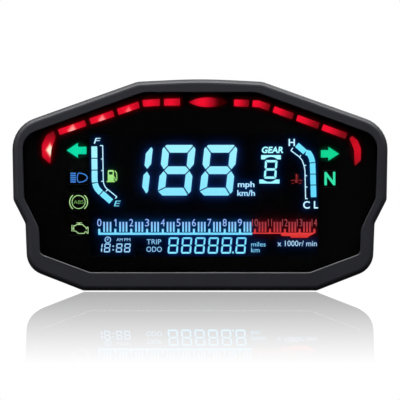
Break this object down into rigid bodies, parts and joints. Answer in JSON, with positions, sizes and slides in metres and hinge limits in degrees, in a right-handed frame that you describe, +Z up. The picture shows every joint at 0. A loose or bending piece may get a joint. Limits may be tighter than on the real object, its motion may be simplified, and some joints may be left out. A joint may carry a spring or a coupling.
{
  "type": "motorcycle instrument cluster",
  "caption": "Digital motorcycle instrument cluster: shouldered plastic case with a smoked window, LCD, shift lights, telltales, rear buttons, socket and threaded mounts.",
  "frame": {"origin": "centre of the bolt circle, in the plane of the mounting bosses' rear faces", "axes": "+Z up along the case, -Y out of the face towards the rider, +Y along the mounting bolts, +X to the rider's right"},
  "size_m": [0.1678, 0.033, 0.0945],
  "materials": {
    "bezel_plastic": "fine-grained matte",
    "cover_plastic": "grained matte",
    "smoked_window": "high gloss",
    "mask_ink": "flat black print",
    "red_window": "lit translucent",
    "green_window": "lit translucent",
    "blue_window": "lit translucent",
    "amber_window": "lit translucent",
    "polariser_film": "film",
    "display_glass": "clear",
    "white_film": "satin film",
    "clear_acrylic": "clear",
    "led_package": "moulded",
    "white_plastic": "matte",
    "board_laminate": "solder mask",
    "chip_epoxy": "moulded",
    "component_metal": "satin",
    "black_plastic": "moulded",
    "button_plastic": "satin",
    "seal_rubber": "matte",
    "tinned_pins": "plated",
    "plated_steel": "black zinc",
    "insert_brass": "machined"
  },
  "bodies": {
    "housing": {"front_bezel": "bezel_plastic", "lens_seal": "seal_rubber", "front_lens": "smoked_window", "mask_plate": "mask_ink", "shift_window_01": "red_window", "shift_window_02": "red_window", "shift_window_03": "red_window", "shift_window_04": "red_window", "shift_window_05": "red_window", "shift_window_06": "red_window", "shift_window_07": "red_window", "shift_window_08": "red_window", "shift_window_09": "red_window", "shift_window_10": "red_window", "shift_window_11": "red_window", "shift_window_12": "red_window", "shift_window_13": "red_window", "turn_left_window": "green_window", "turn_right_window": "green_window", "neutral_window": "green_window", "high_beam_window": "blue_window", "abs_window": "amber_window", "engine_window": "amber_window", "front_polariser": "polariser_film", "rear_polariser": "polariser_film", "lcd_front_glass": "display_glass", "lcd_rear_glass": "display_glass", "diffuser_sheet": "white_film", "reflector_sheet": "white_film", "light_guide": "clear_acrylic", "backlight_leds": "led_package", "lcd_frame": "white_plastic", "lcd_contact_strip": "seal_rubber", "light_box": "white_plastic", "circuit_board": "board_laminate", "shift_leds": "led_package", "telltale_leds": "led_package", "microcontroller": "chip_epoxy", "display_driver": "chip_epoxy", "voltage_regulator": "chip_epoxy", "capacitors": "component_metal", "crystal": "component_metal", "tact_switch_left": "black_plastic", "tact_switch_right": "black_plastic", "connector_housing": "black_plastic", "connector_pins": "tinned_pins", "connector_seal": "seal_rubber", "board_screws": "plated_steel", "case_seal": "seal_rubber", "rear_cover": "cover_plastic", "mount_inserts": "insert_brass", "vent_plug": "seal_rubber", "cover_screws": "plated_steel"},
    "left_button": {"button_left": "button_plastic", "button_seal_left": "seal_rubber", "tact_stem_left": "black_plastic"},
    "right_button": {"button_right": "button_plastic", "button_seal_right": "seal_rubber", "tact_stem_right": "black_plastic"}
  },
  "joints": [
    {"name": "left_button_press", "type": "slide", "parent": "housing", "child": "left_button", "axis": [0, -1, 0], "range_m": [0, 0.001], "stiffness_N_per_m": 1200, "springref_m": -0.001},
    {"name": "right_button_press", "type": "slide", "parent": "housing", "child": "right_button", "axis": [0, -1, 0], "range_m": [0, 0.001], "stiffness_N_per_m": 1200, "springref_m": -0.001}
  ]
}
